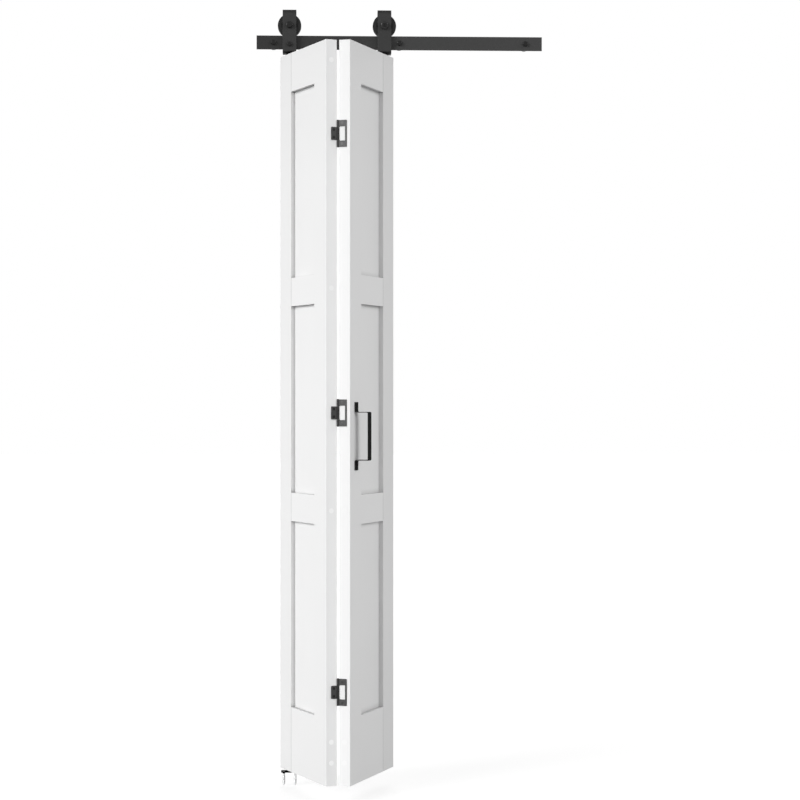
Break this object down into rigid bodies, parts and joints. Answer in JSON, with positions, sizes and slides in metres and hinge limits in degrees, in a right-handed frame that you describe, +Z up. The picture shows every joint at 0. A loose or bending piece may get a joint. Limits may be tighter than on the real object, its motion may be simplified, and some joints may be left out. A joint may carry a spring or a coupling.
{
  "type": "bifold barn door",
  "caption": "White three-panel bifold door, half folded, hung from wheels on a black flat wall track with a pull handle and surface hinges.",
  "frame": {"origin": "centre of the middle track spacer's back face, where it meets the wall", "axes": "+X along the track, away from the parked door; +Y into the wall; +Z up"},
  "size_m": [0.856, 0.3491, 2.281],
  "materials": {
    "white_paint": "satin white paint on wood",
    "white_paint_panel": "satin white paint on fibreboard",
    "plug_white": "white caps",
    "black_steel": "matte black powder coat",
    "wheel_black": "matte black powder coat",
    "hinge_black": "satin black"
  },
  "bodies": {
    "root": {"left_hinge_stile": "white_paint", "left_outer_stile": "white_paint", "left_top_rail": "white_paint", "left_upper_rail": "white_paint", "left_lower_rail": "white_paint", "left_bottom_rail": "white_paint", "left_top_panel": "white_paint_panel", "left_middle_panel": "white_paint_panel", "left_bottom_panel": "white_paint_panel", "right_hinge_stile": "white_paint", "right_outer_stile": "white_paint", "right_top_rail": "white_paint", "right_upper_rail": "white_paint", "right_lower_rail": "white_paint", "right_bottom_rail": "white_paint", "right_top_panel": "white_paint_panel", "right_middle_panel": "white_paint_panel", "right_bottom_panel": "white_paint_panel", "edge_plugs": "plug_white", "track_bar": "black_steel", "track_spacers": "black_steel", "track_bolts": "black_steel", "left_hanger_strap": "black_steel", "left_axle_bolt": "black_steel", "left_axle_nut": "black_steel", "left_pivot_bolt": "black_steel", "left_top_plate": "black_steel", "right_hanger_strap": "black_steel", "right_axle_bolt": "black_steel", "right_axle_nut": "black_steel", "right_pivot_bolt": "black_steel", "right_top_plate": "black_steel", "left_lock_bolt": "black_steel", "bottom_pivot_pin": "black_steel", "floor_bracket": "black_steel", "pull_handle": "black_steel", "left_wheel": "wheel_black", "right_wheel": "wheel_black", "upper_hinge_window_plate": "hinge_black", "upper_hinge_small_plate": "hinge_black", "middle_hinge_window_plate": "hinge_black", "middle_hinge_small_plate": "hinge_black", "lower_hinge_window_plate": "hinge_black", "lower_hinge_small_plate": "hinge_black", "hinge_pins": "hinge_black"}
  },
  "joints": []
}
